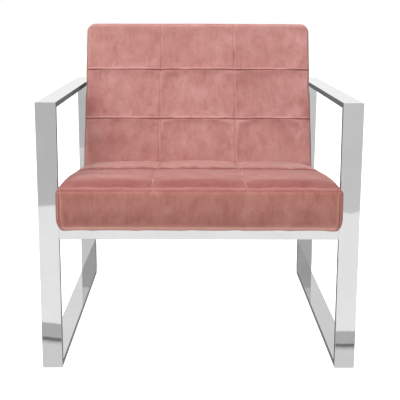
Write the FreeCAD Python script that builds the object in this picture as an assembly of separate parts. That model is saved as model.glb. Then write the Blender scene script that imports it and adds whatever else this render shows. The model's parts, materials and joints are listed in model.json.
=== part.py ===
import FreeCAD, Part
import math
import os

# Lounge armchair: an L-shaped padded seat and back slung between two flat-tube side loops.
# Millimetres, +Z up. The chair faces -Y. Left and right are as seen from the front, so left
# is -X. The origin is on the floor, under the middle of the whole chair's box.

# ---- driving dimensions: steel frame ----
overall_width = 700.0
loop_depth = 680.0
loop_top = 600.0
bar_width = 45.0  # across the chair
bar_thick = 12.0
bar_wall = 1.5
bar_edge_radius = 1.5
rail_height = 26.0
rail_top = 326.0
bearer_width = 35.0
bearer_thick = 8.0
glide_thick = 2.0
glide_radius = 9.0
glide_stem_radius = 3.0
glide_stem_length = 8.0
glide_inset = 45.0

# ---- driving dimensions: upholstered shell ----
cushion_width = 606.0
cushion_overhang = 56.0  # seat front, ahead of the front legs
seat_tilt = 6.7  # degrees, down towards the rear
seat_thick = 104.0
crease_u = 381.0  # crease between seat and back, along the seat's slope
waterfall_u = 51.0  # where the seat's top starts to run level towards the front
front_seam_z = 412.0
front_lip_z = 421.5
back_lean = 20.3  # degrees from upright
back_height = 398.0  # along the back's front face, from the crease
back_thick = 100.0

# ---- driving dimensions: layers inside the shell ----
cover_thick = 1.5
dust_cover_thick = 1.0
timber_width = 35.0
timber_height = 45.0
timber_half_span = 293.0
front_rail_u = -42.0
rear_rail_u = 370.0
gusset_thick = 9.0
felt_gap = 7.0  # room for the springs on the rails
felt_thick = 2.0
webbing_thick = 1.5
back_foam_thick = 48.5
board_thick = 3.0
back_timber_top = 378.0

# ---- driving dimensions: springs and fasteners ----
spring_count = 5
spring_spacing = 100.0
spring_wire_radius = 1.8
spring_run = 26.0
spring_turn_radius = 12.5
spring_half_turns = 16
clip_length = 22.0
clip_depth = 20.0
clip_metal = 1.5
webbing_count = 5
webbing_width = 50.0
webbing_first_v = 60.0
webbing_pitch = 65.0
bolt_radius = 4.0
bolt_hole_radius = 4.5
bolt_head_radius = 7.0
bolt_head_height = 4.4
bolt_socket_width = 5.0
bolt_positions_u = (80.0, 350.0)
washer_radius = 10.0
washer_thick = 1.6
tee_barrel_radius = 5.1
tee_barrel_length = 20.0
tee_flange_radius = 11.0
tee_flange_thick = 1.5
screw_radius = 2.0
screw_head_radius = 4.0
screw_head_height = 2.4
screw_length = 30.0
dowel_radius = 4.0
dowel_length = 50.0
fit_gap = 0.05  # radial, round a fastener or dowel

# ---- derived places ----
half_width = overall_width / 2
loop_front_y = cushion_overhang - (loop_depth + cushion_overhang) / 2
loop_rear_y = loop_front_y + loop_depth
cushion_front_y = loop_front_y - cushion_overhang
loop_bottom = glide_thick
bar_centre_x = half_width - bar_width / 2
inner_gap = overall_width - 2 * bar_width
cushion_half = cushion_width / 2
padding_half = cushion_half - cover_thick
gusset_half = timber_half_span - timber_width
gusset_inner = gusset_half - gusset_thick
side_rail_x = timber_half_span - timber_width / 2
timber_low = dust_cover_thick
timber_high = dust_cover_thick + timber_height
felt_low = timber_high + felt_gap
foam_low = felt_low + felt_thick
foam_high = seat_thick - cover_thick
back_foam_rear = cover_thick + back_foam_thick
back_timber_front = back_foam_rear + webbing_thick
back_timber_rear = back_timber_front + timber_width
board_rear = back_timber_rear + board_thick
rear_cover_front = back_thick - cover_thick
rail_rear_u = front_rail_u + timber_width

tilt = math.radians(seat_tilt)
lean = math.radians(back_lean)
fold = lean - tilt
seat_origin_y = loop_front_y + bar_thick
seat_origin_z = rail_top

X_AXIS = FreeCAD.Vector(1, 0, 0)
Y_AXIS = FreeCAD.Vector(0, 1, 0)
SLOPE = FreeCAD.Rotation(X_AXIS, -seat_tilt)
SLOPE_ALONG = FreeCAD.Rotation(X_AXIS, -seat_tilt - 90)
ACROSS = FreeCAD.Rotation(Y_AXIS, 90)
ALONG_Y = FreeCAD.Rotation(X_AXIS, -90)
UPRIGHT = FreeCAD.Rotation()
SIDES = (("left", -1), ("right", 1))


# ---- places in the seat and the back ----
def seat_point(u, w):
    """(y, z) at u along the seat's slope from the front rail and w above its underside."""
    y = seat_origin_y + u * math.cos(tilt) + w * math.sin(tilt)
    z = seat_origin_z - u * math.sin(tilt) + w * math.cos(tilt)
    return (y, z)


def back_point(v, t):
    """(y, z) at v up the back's front face from the crease and t behind that face."""
    y, z = seat_point(crease_u, seat_thick)
    return (y + v * math.sin(lean) + t * math.cos(lean), z + v * math.cos(lean) - t * math.sin(lean))


def meet(t, w):
    """(y, z) where the layer t behind the back's face crosses the layer w above the underside."""
    v = (w - seat_thick + t * math.sin(fold)) / math.cos(fold)
    return back_point(v, t)


def underside_z(y):
    """Height of the seat's underside at y."""
    return seat_origin_z - (y - seat_origin_y) * math.tan(tilt)


def seat_place(x, u, w, rotation):
    y, z = seat_point(u, w)
    return FreeCAD.Placement(FreeCAD.Vector(x, y, z), rotation)


# ---- shape helpers ----
def side_prism(points, x_low, x_high):
    """A solid with the given (y, z) outline, from x_low to x_high."""
    corners = [FreeCAD.Vector(x_low, y, z) for y, z in points]
    face = Part.Face(Part.makePolygon(corners + corners[:1]))
    return face.extrude(FreeCAD.Vector(x_high - x_low, 0, 0))


def mirrored_prism(points, x_near, x_far, side):
    """A side prism between two distances from the middle of the chair, on one side of it."""
    return side_prism(points, min(side * x_near, side * x_far), max(side * x_near, side * x_far))


def offset_path(points, distance):
    """The open (y, z) path moved to its right by distance, with mitred corners."""
    normals = []
    for (y0, z0), (y1, z1) in zip(points, points[1:]):
        length = math.hypot(y1 - y0, z1 - z0)
        normals.append(((z1 - z0) / length, -(y1 - y0) / length))
    moved = []
    for index, (y, z) in enumerate(points):
        before = normals[max(index - 1, 0)]
        after = normals[min(index, len(normals) - 1)]
        scale = distance / (1 + before[0] * after[0] + before[1] * after[1])
        moved.append((y + (before[0] + after[0]) * scale, z + (before[1] + after[1]) * scale))
    return moved


def rounded_section(width, thick, radius):
    """A face in the XY plane, centred, with rounded corners."""
    box = Part.makeBox(width, thick, 1, FreeCAD.Vector(-width / 2, -thick / 2, 0))
    upright = [e for e in box.Edges if abs(e.Vertexes[0].Z - e.Vertexes[1].Z) > 0.5]
    rounded = box.makeFillet(radius, upright)
    return min(rounded.Faces, key=lambda face: face.CenterOfMass.z)


def hollow_tube(width, thick, length):
    """A rectangular tube along +Z from the origin."""
    along = FreeCAD.Vector(0, 0, length)
    outer = rounded_section(width, thick, bar_edge_radius).extrude(along)
    bore = rounded_section(width - 2 * bar_wall, thick - 2 * bar_wall, bar_edge_radius / 3)
    return outer.cut(bore.extrude(along))


def placed(shape, x, y, z, rotation):
    shape.Placement = FreeCAD.Placement(FreeCAD.Vector(x, y, z), rotation)
    return shape


def cylinder(radius, length, placement):
    """A cylinder along the placement's own +Z."""
    shape = Part.makeCylinder(radius, length)
    shape.Placement = placement
    return shape


def cut_all(shape, tools):
    for tool in tools:
        shape = shape.cut(tool)
    return shape


def save(name, solids):
    shape = solids[0] if len(solids) == 1 else Part.makeCompound(solids)
    shape.exportStep("parts/" + name + ".step")
    volume = sum(solid.Volume for solid in solids)
    print(f"{name:28s} {len(shape.Solids):3d} solids {volume / 1000:10.2f} cm3 valid {shape.isValid()}")


# ---- steel side loops ----
def glide_places():
    for _, side in SIDES:
        for y in (loop_front_y + glide_inset, loop_rear_y - glide_inset):
            yield side * bar_centre_x, y


def loop_tubes():
    """The four mitred tubes of each loop: name, side, tube before its mitres, mitred outline."""
    y0, y1 = loop_front_y, loop_rear_y
    z0, z1 = loop_bottom, loop_top
    t = bar_thick
    height = z1 - z0
    for label, side in SIDES:
        x = side * bar_centre_x
        upright = hollow_tube(bar_width, bar_thick, height)
        level = hollow_tube(bar_width, bar_thick, loop_depth)
        front = [(y0, z0), (y0, z1), (y0 + t, z1 - t), (y0 + t, z0 + t)]
        rear = [(y1, z0), (y1, z1), (y1 - t, z1 - t), (y1 - t, z0 + t)]
        arm = [(y0, z1), (y1, z1), (y1 - t, z1 - t), (y0 + t, z1 - t)]
        runner = [(y0, z0), (y1, z0), (y1 - t, z0 + t), (y0 + t, z0 + t)]
        yield label + "_front_leg", placed(upright.copy(), x, y0 + t / 2, z0, UPRIGHT), front, side
        yield label + "_rear_leg", placed(upright.copy(), x, y1 - t / 2, z0, UPRIGHT), rear, side
        yield label + "_arm_rail", placed(level.copy(), x, y0, z1 - t / 2, ALONG_Y), arm, side
        yield label + "_floor_runner", placed(level.copy(), x, y0, z0 + t / 2, ALONG_Y), runner, side


def make_loops():
    margin = 5.0
    stem_holes = []
    for x, y in glide_places():
        hole = Part.makeCylinder(glide_stem_radius + fit_gap, bar_wall * 2, FreeCAD.Vector(x, y, 0))
        stem_holes.append(hole.translated(FreeCAD.Vector(0, 0, loop_bottom - bar_wall / 2)))
    for name, tube, outline, side in loop_tubes():
        mitre = mirrored_prism(outline, inner_gap / 2 - margin, half_width + margin, side)
        shape = tube.common(mitre)
        if name.endswith("floor_runner"):
            shape = cut_all(shape, stem_holes)
        save(name, shape.Solids)


def make_glides():
    glides = []
    for x, y in glide_places():
        pad = Part.makeCylinder(glide_radius, glide_thick, FreeCAD.Vector(x, y, 0))
        stem_length = glide_stem_length - glide_thick
        stem = Part.makeCylinder(glide_stem_radius, stem_length, FreeCAD.Vector(x, y, glide_thick))
        glides.append(pad.fuse(stem).removeSplitter().Solids[0])
    save("floor_glides", glides)


def rear_rail_top():
    """Top of the rear cross rail, level with the bearers where they meet it."""
    return underside_z(loop_rear_y - bar_thick)


def make_cross_rails():
    for name, y, top in (
        ("front_cross_rail", loop_front_y + bar_thick / 2, rail_top),
        ("rear_cross_rail", loop_rear_y - bar_thick / 2, rear_rail_top()),
    ):
        rail = hollow_tube(rail_height, bar_thick, inner_gap)
        save(name, placed(rail, -inner_gap / 2, y, top - rail_height / 2, ACROSS).Solids)


def bolt_places():
    for _, side in SIDES:
        for u in bolt_positions_u:
            yield side * side_rail_x, u


def bolt_holes(radius, low, high):
    """Cutters for holes round the seat bolts, from low to high above the underside."""
    return [cylinder(radius, high - low, seat_place(x, u, low, SLOPE)) for x, u in bolt_places()]


def make_bearers():
    """Flat bars welded between the cross rails, under the seat's side rails."""
    y_front = loop_front_y + bar_thick
    y_rear = loop_rear_y - bar_thick
    drop = bearer_thick / math.cos(tilt)
    outline = [
        (y_front, underside_z(y_front)),
        (y_rear, underside_z(y_rear)),
        (y_rear, underside_z(y_rear) - drop),
        (y_front, underside_z(y_front) - drop),
    ]
    holes = bolt_holes(bolt_hole_radius, -2 * bearer_thick, bearer_thick)
    near = side_rail_x - bearer_width / 2
    for label, side in SIDES:
        bar = mirrored_prism(outline, near, near + bearer_width, side)
        save(label + "_seat_bearer", cut_all(bar, holes).Solids)


# ---- seat fasteners ----
def hexagon(width, depth):
    radius = width / math.sqrt(3)
    corners = []
    for index in range(7):
        angle = index * math.pi / 3
        corners.append(FreeCAD.Vector(radius * math.cos(angle), radius * math.sin(angle), 0))
    return Part.Face(Part.makePolygon(corners)).extrude(FreeCAD.Vector(0, 0, depth))


def make_seat_bolts():
    bolts = []
    washers = []
    nuts = []
    washer_low = -bearer_thick - washer_thick
    head_low = washer_low - bolt_head_height
    socket_depth = 2.5
    for x, u in bolt_places():
        head = Part.makeCylinder(bolt_head_radius, bolt_head_height)
        rim = [e for e in head.Edges if e.Closed and e.Vertexes[0].Z < bolt_head_height / 2]
        head = head.makeFillet(bolt_head_height / 2, rim[:1])
        head = head.cut(hexagon(bolt_socket_width, socket_depth))
        shank_length = timber_high - washer_low - 3.0
        shank = Part.makeCylinder(bolt_radius, shank_length, FreeCAD.Vector(0, 0, bolt_head_height))
        bolt = head.fuse(shank).removeSplitter().Solids[0]
        bolt.Placement = seat_place(x, u, head_low, SLOPE)
        bolts.append(bolt)
        washer = cylinder(washer_radius, washer_thick, seat_place(x, u, washer_low, SLOPE))
        hole = cylinder(bolt_radius + 0.2, washer_thick * 3, seat_place(x, u, washer_low - washer_thick, SLOPE))
        washers.append(washer.cut(hole).Solids[0])
        barrel_low = timber_high - tee_barrel_length
        barrel = cylinder(tee_barrel_radius, tee_barrel_length, seat_place(x, u, barrel_low, SLOPE))
        flange = cylinder(tee_flange_radius, tee_flange_thick, seat_place(x, u, timber_high, SLOPE))
        bore = cylinder(bolt_radius + fit_gap, 2 * tee_barrel_length, seat_place(x, u, barrel_low - 5, SLOPE))
        nuts.append(barrel.fuse(flange).cut(bore).removeSplitter().Solids[0])
    save("seat_bolts", bolts)
    save("seat_bolt_washers", washers)
    save("seat_tee_nuts", nuts)


# ---- timber frame of the shell ----
def gusset_outline():
    inset = 2.0
    reach_u = 250.0
    reach_v = 62.0
    front = back_timber_front + inset
    rear = back_timber_rear - inset
    return [
        seat_point(reach_u, timber_low + inset),
        seat_point(reach_u, timber_high - inset),
        meet(front, timber_high - inset),
        back_point(reach_v, front),
        back_point(reach_v, rear),
        meet(rear, timber_low + inset),
    ]


def gusset_screw_points():
    """(y, z) of the screws that hold a gusset to the seat rail and to the back's stile."""
    points = []
    for u in (270.0, 330.0):
        for w in (13.0, 35.0):
            points.append(seat_point(u, w))
    for v in (-44.0, 45.0):
        for t in (60.0, 78.0):
            points.append(back_point(v, t))
    return points


def screw_cutters(side):
    """Pilot holes for one side's gusset screws."""
    cutters = []
    start = gusset_inner - 1.0
    for y, z in gusset_screw_points():
        hole = Part.makeCylinder(screw_radius + fit_gap, screw_length + 2.0)
        turn = FreeCAD.Rotation(Y_AXIS, 90 * side)
        cutters.append(placed(hole, side * start, y, z, turn))
    return cutters


def front_dowels(extra):
    """Dowels between the front rail and the side rails, grown by extra all round."""
    dowels = []
    for _, side in SIDES:
        for w in (12.0, 36.0):
            start = rail_rear_u - dowel_length / 2 - extra
            place = seat_place(side * side_rail_x, start, w, SLOPE_ALONG)
            dowels.append(cylinder(dowel_radius + extra, dowel_length + 2 * extra, place))
    return dowels


def top_dowels(extra):
    """Dowels between the back's top rail and its stiles, grown by extra all round."""
    dowels = []
    middle_t = (back_timber_front + back_timber_rear) / 2
    for _, side in SIDES:
        for v in (back_timber_top - 28.0, back_timber_top - 10.0):
            y, z = back_point(v, middle_t)
            start = side * gusset_half - dowel_length / 2 - extra
            place = FreeCAD.Placement(FreeCAD.Vector(start, y, z), ACROSS)
            dowels.append(cylinder(dowel_radius + extra, dowel_length + 2 * extra, place))
    return dowels


def make_seat_timber():
    front = side_prism(
        [
            seat_point(front_rail_u, timber_low),
            seat_point(front_rail_u, timber_high),
            seat_point(rail_rear_u, timber_high),
            seat_point(rail_rear_u, timber_low),
        ],
        -timber_half_span,
        timber_half_span,
    )
    dowel_holes = front_dowels(fit_gap)
    save("seat_front_rail", cut_all(front, dowel_holes).Solids)
    rear = side_prism(
        [
            seat_point(rear_rail_u, timber_low),
            seat_point(rear_rail_u, timber_high),
            seat_point(rear_rail_u + timber_width, timber_high),
            seat_point(rear_rail_u + timber_width, timber_low),
        ],
        -gusset_inner,
        gusset_inner,
    )
    save("seat_rear_rail", rear.Solids)
    outline = [
        seat_point(rail_rear_u, timber_low),
        seat_point(rail_rear_u, timber_high),
        meet(back_timber_front, timber_high),
        meet(back_timber_front, timber_low),
    ]
    nut_low = timber_high - tee_barrel_length
    holes = bolt_holes(bolt_hole_radius, -bearer_thick, timber_high)
    holes += bolt_holes(tee_barrel_radius + fit_gap, nut_low - fit_gap, timber_high + 1.0)
    for label, side in SIDES:
        rail = mirrored_prism(outline, gusset_half, timber_half_span, side)
        rail = cut_all(rail, holes + dowel_holes + screw_cutters(side))
        save(label + "_seat_side_rail", rail.Solids)


def make_back_timber():
    stile = [
        meet(back_timber_front, timber_low),
        back_point(back_timber_top, back_timber_front),
        back_point(back_timber_top, back_timber_rear),
        meet(back_timber_rear, timber_low),
    ]
    dowel_holes = top_dowels(fit_gap)
    for label, side in SIDES:
        shape = mirrored_prism(stile, gusset_half, timber_half_span, side)
        save(label + "_back_stile", cut_all(shape, dowel_holes + screw_cutters(side)).Solids)
    for name, low, high, half in (
        ("back_top_rail", back_timber_top - 40.0, back_timber_top, gusset_half),
        ("back_lower_rail", -20.0, 20.0, gusset_inner),
    ):
        outline = [
            back_point(low, back_timber_front),
            back_point(high, back_timber_front),
            back_point(high, back_timber_rear),
            back_point(low, back_timber_rear),
        ]
        rail = side_prism(outline, -half, half)
        if name == "back_top_rail":
            rail = cut_all(rail, dowel_holes)
        save(name, rail.Solids)
    outline = [
        meet(back_timber_front, timber_low),
        meet(back_timber_front, timber_high - 10.0),
        meet(back_timber_rear, timber_high - 10.0),
        meet(back_timber_rear, timber_low),
    ]
    save("back_bottom_rail", side_prism(outline, -gusset_inner, gusset_inner).Solids)


def make_gussets():
    screws = []
    outline = gusset_outline()
    for label, side in SIDES:
        plate = mirrored_prism(outline, gusset_inner, gusset_half, side)
        save(label + "_gusset_plate", cut_all(plate, screw_cutters(side)).Solids)
        for y, z in gusset_screw_points():
            shank = Part.makeCylinder(screw_radius, screw_length)
            below = FreeCAD.Vector(0, 0, -screw_head_height)
            head = Part.makeCylinder(screw_head_radius, screw_head_height, below)
            screw = shank.fuse(head).removeSplitter()
            turn = FreeCAD.Rotation(Y_AXIS, 90 * side)
            screws.append(placed(screw, side * gusset_inner, y, z, turn).Solids[0])
    save("gusset_screws", screws)


def corner_prism(corner, along_a, along_b, depth):
    """A triangular block: its right-angled corner, its two legs and its depth, all vectors."""
    points = [corner, corner + along_a, corner + along_b, corner]
    return Part.Face(Part.makePolygon(points)).extrude(depth)


def make_corner_blocks():
    leg = 50.0
    inset = 4.0
    seat_blocks = []
    back_blocks = []
    slope = FreeCAD.Vector(0, math.cos(tilt), -math.sin(tilt))
    rise = FreeCAD.Vector(0, math.sin(tilt), math.cos(tilt))
    down = FreeCAD.Vector(0, -math.sin(lean), -math.cos(lean))
    rearward = FreeCAD.Vector(0, math.cos(lean), -math.sin(lean))
    for _, side in SIDES:
        across = FreeCAD.Vector(-side * leg, 0, 0)
        y, z = seat_point(rail_rear_u, timber_low + inset)
        corner = FreeCAD.Vector(side * gusset_half, y, z)
        block = corner_prism(corner, across, slope * leg, rise * (timber_height - 2 * inset))
        seat_blocks += block.Solids
        y, z = back_point(back_timber_top - 40.0, back_timber_front + inset)
        corner = FreeCAD.Vector(side * gusset_half, y, z)
        block = corner_prism(corner, across, down * leg, rearward * (timber_width - 2 * inset))
        back_blocks += block.Solids
    save("seat_corner_blocks", seat_blocks)
    save("back_corner_blocks", back_blocks)
    save("frame_dowels", front_dowels(0.0) + top_dowels(0.0))


# ---- springs, webbing and felt ----
def spring_height():
    return timber_high + clip_metal + spring_wire_radius + 2 * fit_gap


def spring_ends():
    """u of a spring's first and last straight runs."""
    length = spring_half_turns * 2 * spring_turn_radius
    middle = (rail_rear_u + rear_rail_u) / 2
    return middle - length / 2, middle + length / 2


def spring_path(x):
    """The zigzag centre line: straight runs across, joined by half circles."""
    start_u, _ = spring_ends()
    radius = spring_turn_radius
    edges = []
    u = start_u
    direction = 1
    for index in range(spring_half_turns + 1):
        low = FreeCAD.Vector(x - direction * spring_run / 2, u, 0)
        high = FreeCAD.Vector(x + direction * spring_run / 2, u, 0)
        edges.append(Part.makeLine(low, high))
        if index < spring_half_turns:
            middle = high + FreeCAD.Vector(direction * radius, radius, 0)
            end = high + FreeCAD.Vector(0, 2 * radius, 0)
            edges.append(Part.Arc(high, middle, end).toShape())
        u += 2 * radius
        direction = -direction
    return Part.Wire(edges)


def spring_centres():
    first = -(spring_count - 1) / 2 * spring_spacing
    return [first + index * spring_spacing for index in range(spring_count)]


def make_springs():
    springs = []
    place = seat_place(0, 0, spring_height(), SLOPE)
    for x in spring_centres():
        path = spring_path(x)
        start = path.OrderedVertexes[0].Point
        section = Part.Wire(Part.makeCircle(spring_wire_radius, start, X_AXIS))
        spring = path.makePipeShell([section], True, False)
        spring.Placement = place
        springs += spring.Solids
    save("seat_springs", springs)


def make_spring_clips():
    """A plate on the rail whose edge is rolled round the spring's end run."""
    clips = []
    bore = spring_wire_radius + 2 * fit_gap
    roll = bore + clip_metal
    for x in spring_centres():
        for u, away in zip(spring_ends(), (-1, 1)):
            tube = Part.makeCylinder(roll, clip_length)
            plate = Part.makeBox(clip_length, clip_depth, clip_metal)
            centre = spring_height()
            place = seat_place(x - clip_length / 2, u, centre, SLOPE.multiply(ACROSS))
            tube.Placement = place
            low_u = min(u, u + away * clip_depth)
            plate.Placement = seat_place(x - clip_length / 2, low_u, timber_high, SLOPE)
            wire = cylinder(bore, clip_length * 2, seat_place(x - clip_length, u, centre, SLOPE.multiply(ACROSS)))
            clips.append(tube.fuse(plate).cut(wire).removeSplitter().Solids[0])
    save("spring_clips", clips)


def make_supports():
    felt = [
        seat_point(front_rail_u, felt_low),
        seat_point(front_rail_u, foam_low),
        meet(back_foam_rear, foam_low),
        meet(back_foam_rear, felt_low),
    ]
    save("seat_felt", side_prism(felt, -timber_half_span, timber_half_span).Solids)
    straps = []
    for index in range(webbing_count):
        v = webbing_first_v + index * webbing_pitch
        outline = [
            back_point(v - webbing_width / 2, back_foam_rear),
            back_point(v + webbing_width / 2, back_foam_rear),
            back_point(v + webbing_width / 2, back_timber_front),
            back_point(v - webbing_width / 2, back_timber_front),
        ]
        straps += side_prism(outline, 5 - timber_half_span, timber_half_span - 5).Solids
    save("back_webbing", straps)


# ---- foam and padding ----
def seat_top_path():
    """The seat cover's outer line: up from the front seam, over the lip, back to the crease."""
    y = cushion_front_y
    return [
        (y, front_seam_z - 2.0),
        (y, front_seam_z),
        (y + 4.0, front_lip_z - 2.5),
        (y + 12.0, front_lip_z),
        seat_point(waterfall_u, seat_thick),
        seat_point(crease_u - 0.6, seat_thick),
    ]


def make_foam():
    inner = offset_path(seat_top_path(), cover_thick)
    foam_front_y = cushion_front_y + cover_thick
    strip_rear = seat_point(front_rail_u, foam_low)
    outline = inner[:-1]
    outline[0] = (foam_front_y, strip_rear[1])
    outline += [meet(0.0, foam_high), meet(0.0, foam_low), strip_rear]
    save("seat_foam", side_prism(outline, -padding_half, padding_half).Solids)
    strip = [
        (foam_front_y, strip_rear[1]),
        strip_rear,
        seat_point(front_rail_u, timber_low),
        (foam_front_y, underside_z(foam_front_y) + dust_cover_thick / math.cos(tilt)),
    ]
    save("seat_front_foam", side_prism(strip, -padding_half, padding_half).Solids)
    back = [
        meet(cover_thick, foam_low),
        back_point(back_height - cover_thick, cover_thick),
        back_point(back_height - cover_thick, back_foam_rear),
        meet(back_foam_rear, foam_low),
    ]
    save("back_foam", side_prism(back, -padding_half, padding_half).Solids)
    top = [
        back_point(back_timber_top, back_foam_rear),
        back_point(back_height - cover_thick, back_foam_rear),
        back_point(back_height - cover_thick, rear_cover_front),
        back_point(back_timber_top, rear_cover_front),
    ]
    save("back_top_foam", side_prism(top, -padding_half, padding_half).Solids)


def make_side_padding():
    seat = [
        seat_point(front_rail_u, timber_low),
        seat_point(front_rail_u, foam_low),
        meet(back_foam_rear, foam_low),
        meet(back_foam_rear, timber_low),
    ]
    back = [
        meet(back_foam_rear, timber_low),
        back_point(back_timber_top, back_foam_rear),
        back_point(back_timber_top, board_rear),
        meet(board_rear, timber_low),
    ]
    for label, side in SIDES:
        save(label + "_seat_padding", mirrored_prism(seat, timber_half_span, padding_half, side).Solids)
        save(label + "_back_padding", mirrored_prism(back, timber_half_span, padding_half, side).Solids)


def make_back_rear():
    for name, front, rear, half in (
        ("back_board", back_timber_rear, board_rear, timber_half_span),
        ("back_rear_padding", board_rear, rear_cover_front, padding_half),
    ):
        outline = [
            meet(front, timber_low),
            back_point(back_timber_top, front),
            back_point(back_timber_top, rear),
            meet(rear, timber_low),
        ]
        save(name, side_prism(outline, -half, half).Solids)


# ---- covers ----
def make_seat_covers():
    path = seat_top_path()
    strip = path + offset_path(path, cover_thick)[::-1]
    save("seat_top_cover", side_prism(strip, -padding_half, padding_half).Solids)
    y = cushion_front_y
    foot = underside_z(y)
    boxing = [
        (y, foot),
        (y, path[0][1]),
        (y + cover_thick, path[0][1]),
        (y + cover_thick, underside_z(y + cover_thick)),
    ]
    save("seat_front_boxing", side_prism(boxing, -padding_half, padding_half).Solids)
    side_panel = [(y, foot)] + path[:-1] + [meet(0.0, seat_thick), meet(0.0, 0.0)]
    for label, side in SIDES:
        panel = mirrored_prism(side_panel, padding_half, cushion_half, side)
        save(label + "_seat_side_boxing", panel.Solids)


def make_back_covers():
    top = back_height - cover_thick
    front = [
        meet(0.0, foam_low),
        back_point(top, 0.0),
        back_point(top, cover_thick),
        meet(cover_thick, foam_low),
    ]
    save("back_front_cover", side_prism(front, -padding_half, padding_half).Solids)
    rear = [
        meet(rear_cover_front, 0.0),
        back_point(top, rear_cover_front),
        back_point(top, back_thick),
        meet(back_thick, 0.0),
    ]
    save("back_rear_cover", side_prism(rear, -padding_half, padding_half).Solids)
    cap = [
        back_point(top, 0.0),
        back_point(back_height, 0.0),
        back_point(back_height, back_thick),
        back_point(top, back_thick),
    ]
    save("back_top_boxing", side_prism(cap, -padding_half, padding_half).Solids)
    panel = [
        meet(0.0, 0.0),
        back_point(back_height, 0.0),
        back_point(back_height, back_thick),
        meet(back_thick, 0.0),
    ]
    for label, side in SIDES:
        shape = mirrored_prism(panel, padding_half, cushion_half, side)
        save(label + "_back_side_boxing", shape.Solids)


def make_dust_cover():
    y = cushion_front_y + cover_thick
    lift = dust_cover_thick / math.cos(tilt)
    outline = [
        (y, underside_z(y)),
        (y, underside_z(y) + lift),
        meet(rear_cover_front, dust_cover_thick),
        meet(rear_cover_front, 0.0),
    ]
    sheet = side_prism(outline, -padding_half, padding_half)
    holes = bolt_holes(bolt_hole_radius, -2.0, dust_cover_thick + 2.0)
    save("seat_dust_cover", cut_all(sheet, holes).Solids)


make_loops()
make_glides()
make_cross_rails()
make_bearers()
make_seat_bolts()
make_seat_timber()
make_back_timber()
make_gussets()
make_corner_blocks()
make_springs()
make_spring_clips()
make_supports()
make_foam()
make_side_padding()
make_back_rear()
make_seat_covers()
make_back_covers()
make_dust_cover()
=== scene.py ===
import json
import math

import bmesh
import bpy
import numpy as np
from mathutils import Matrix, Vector


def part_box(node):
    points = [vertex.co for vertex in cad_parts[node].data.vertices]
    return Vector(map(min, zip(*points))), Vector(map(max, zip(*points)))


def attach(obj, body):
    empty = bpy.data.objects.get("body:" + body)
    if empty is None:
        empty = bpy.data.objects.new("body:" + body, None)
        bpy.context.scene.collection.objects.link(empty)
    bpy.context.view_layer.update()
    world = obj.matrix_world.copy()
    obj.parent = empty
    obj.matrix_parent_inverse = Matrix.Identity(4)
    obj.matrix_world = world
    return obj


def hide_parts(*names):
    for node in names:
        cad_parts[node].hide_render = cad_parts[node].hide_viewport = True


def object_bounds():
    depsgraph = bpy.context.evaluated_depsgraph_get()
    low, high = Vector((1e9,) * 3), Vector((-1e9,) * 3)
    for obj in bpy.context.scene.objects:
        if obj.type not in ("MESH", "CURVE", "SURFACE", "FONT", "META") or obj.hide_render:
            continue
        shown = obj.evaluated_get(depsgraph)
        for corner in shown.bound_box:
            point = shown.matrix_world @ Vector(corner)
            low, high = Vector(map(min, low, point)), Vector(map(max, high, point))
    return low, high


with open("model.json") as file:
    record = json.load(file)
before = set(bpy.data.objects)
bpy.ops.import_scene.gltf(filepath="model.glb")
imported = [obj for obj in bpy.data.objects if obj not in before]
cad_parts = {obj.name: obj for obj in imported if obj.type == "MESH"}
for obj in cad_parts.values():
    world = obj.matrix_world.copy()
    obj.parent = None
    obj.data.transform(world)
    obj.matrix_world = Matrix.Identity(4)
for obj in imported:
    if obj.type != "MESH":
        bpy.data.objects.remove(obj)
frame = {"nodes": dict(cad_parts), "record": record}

cad_low, cad_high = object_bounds()

# ---- places taken from the frame (metres) ----
leg_low, leg_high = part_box("left_front_leg")
arm_low, arm_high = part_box("left_arm_rail")
_, rail_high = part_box("front_cross_rail")
boxing_low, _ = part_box("seat_front_boxing")
side_low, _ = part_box("left_seat_side_boxing")
loop_front_y = leg_low[1]
loop_rear_y = cad_high[1]
loop_outer_x = cad_high[0]
bar_thick = leg_high[1] - leg_low[1]
cushion_front_y = boxing_low[1]
half_width = -side_low[0]
seat_origin_y = loop_front_y + bar_thick
seat_origin_z = rail_high[2]

# ---- the shell's own dimensions, the same as the CAD model's ----
TILT = math.radians(6.7)
LEAN = math.radians(20.3)
FOLD = LEAN - TILT
SEAT_THICK = 0.104
CREASE_U = 0.381
ROLL_LENGTH = 0.250
FRONT_SEAM_Z = 0.4215
BACK_HEIGHT = 0.398
BACK_THICK = 0.100
UNDERSIDE_GAP = 0.0013

# ---- velvet colours, 8-bit sRGB, and the linear tints that multiply them ----
VELVET_MAIN = (183, 131, 125)
VELVET_DEEP = (167, 112, 106)
VELVET_LIGHT = (198, 151, 145)
# the shade tint darkens painted shade and random flecks; the tint after it stands in for the weaker sheen on
# the seat's front panel
SHADE_TINT = (0.61, 0.40, 0.39)
SHEEN_LOSS_TINT = (0.98, 0.86, 0.78)
# a painted highlight colour for seam lips, edges and sheen-lit faces, then a painted shade colour for seams
# and creases
VELVET_HIGHLIGHT = (218, 172, 164)
VELVET_CREASE_SHADE = (142, 80, 76)

# ---- sewn channels: columns across the chair, rows along the seat's slope and up the back's face ----
SEAT_COLUMNS = (-0.099, 0.099)
SEAT_ROWS = (0.082, 0.228)
BACK_COLUMNS = (-0.1005, 0.1005)
BACK_ROWS = (-0.011, 0.1309, 0.2663)

# ---- the pads' edges, and how far their faces swell ----
EDGE_RADIUS = 0.0095
CORNER_RADIUS = 0.022
LEFT_PULL = 0.0100
RIGHT_PULL = 0.0075
PILLOW_POWER = 0.42
SEAT_RISES = {"cell": 0.0018, "whole": 0.0115, "side": 0.0012, "end": 0.0010, "far": 0.0}
BACK_RISES = {"cell": 0.0028, "whole": 0.0050, "side": 0.0010, "end": 0.0040, "far": 0.0030}

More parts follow.
